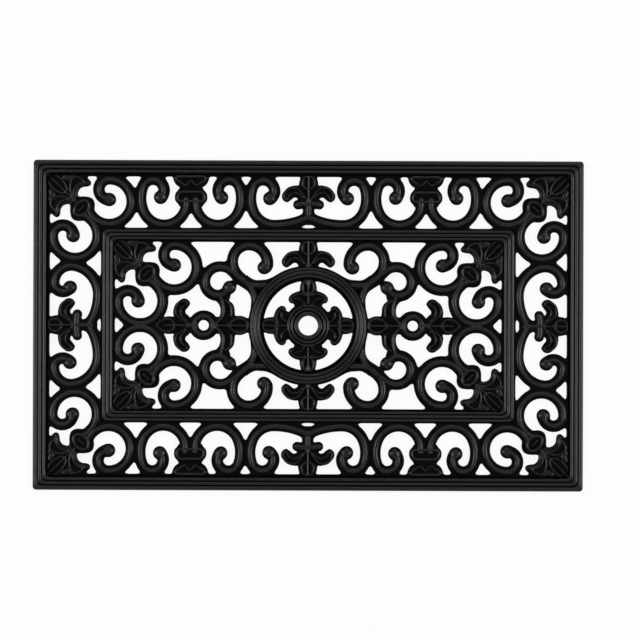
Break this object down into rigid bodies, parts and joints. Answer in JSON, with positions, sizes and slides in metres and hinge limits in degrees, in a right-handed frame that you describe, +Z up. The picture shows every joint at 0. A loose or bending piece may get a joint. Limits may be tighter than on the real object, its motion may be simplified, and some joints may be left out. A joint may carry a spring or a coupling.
{
  "type": "doormat",
  "caption": "Rectangular openwork rubber doormat: ribbed rails frame scrolls, leaves and a round medallion in wrought-iron style, flat underneath to lie at a door.",
  "frame": {"origin": "centre of the flat underside, on the surface that the mat lies on", "axes": "+X along the mat's long side, +Y across it, +Z up through the ribbed face"},
  "size_m": [0.75, 0.45, 0.009],
  "materials": {
    "rubber": "matte black moulded rubber with a faint grain"
  },
  "bodies": {
    "root": {"outer_rail_back": "rubber", "outer_rail_front": "rubber", "outer_rail_left": "rubber", "outer_rail_right": "rubber", "inner_rail_back": "rubber", "inner_rail_front": "rubber", "inner_rail_left": "rubber", "inner_rail_right": "rubber", "border_centre_back": "rubber", "border_centre_front": "rubber", "border_centre_right": "rubber", "border_centre_left": "rubber", "border_urn_back_right": "rubber", "border_urn_back_left": "rubber", "border_urn_front_left": "rubber", "border_urn_front_right": "rubber", "border_corner_back_right": "rubber", "border_corner_back_left": "rubber", "border_corner_front_left": "rubber", "border_corner_front_right": "rubber", "field_corner_back_right": "rubber", "field_corner_back_left": "rubber", "field_corner_front_left": "rubber", "field_corner_front_right": "rubber", "ring_curl_back_right": "rubber", "ring_curl_back_left": "rubber", "ring_curl_front_left": "rubber", "ring_curl_front_right": "rubber", "ring_hook_back_right": "rubber", "ring_hook_back_left": "rubber", "ring_hook_front_left": "rubber", "ring_hook_front_right": "rubber", "field_fleur_back": "rubber", "field_fleur_front": "rubber", "side_rosette_right": "rubber", "side_rosette_left": "rubber", "centre_rosette": "rubber", "centre_ring": "rubber"}
  },
  "joints": []
}
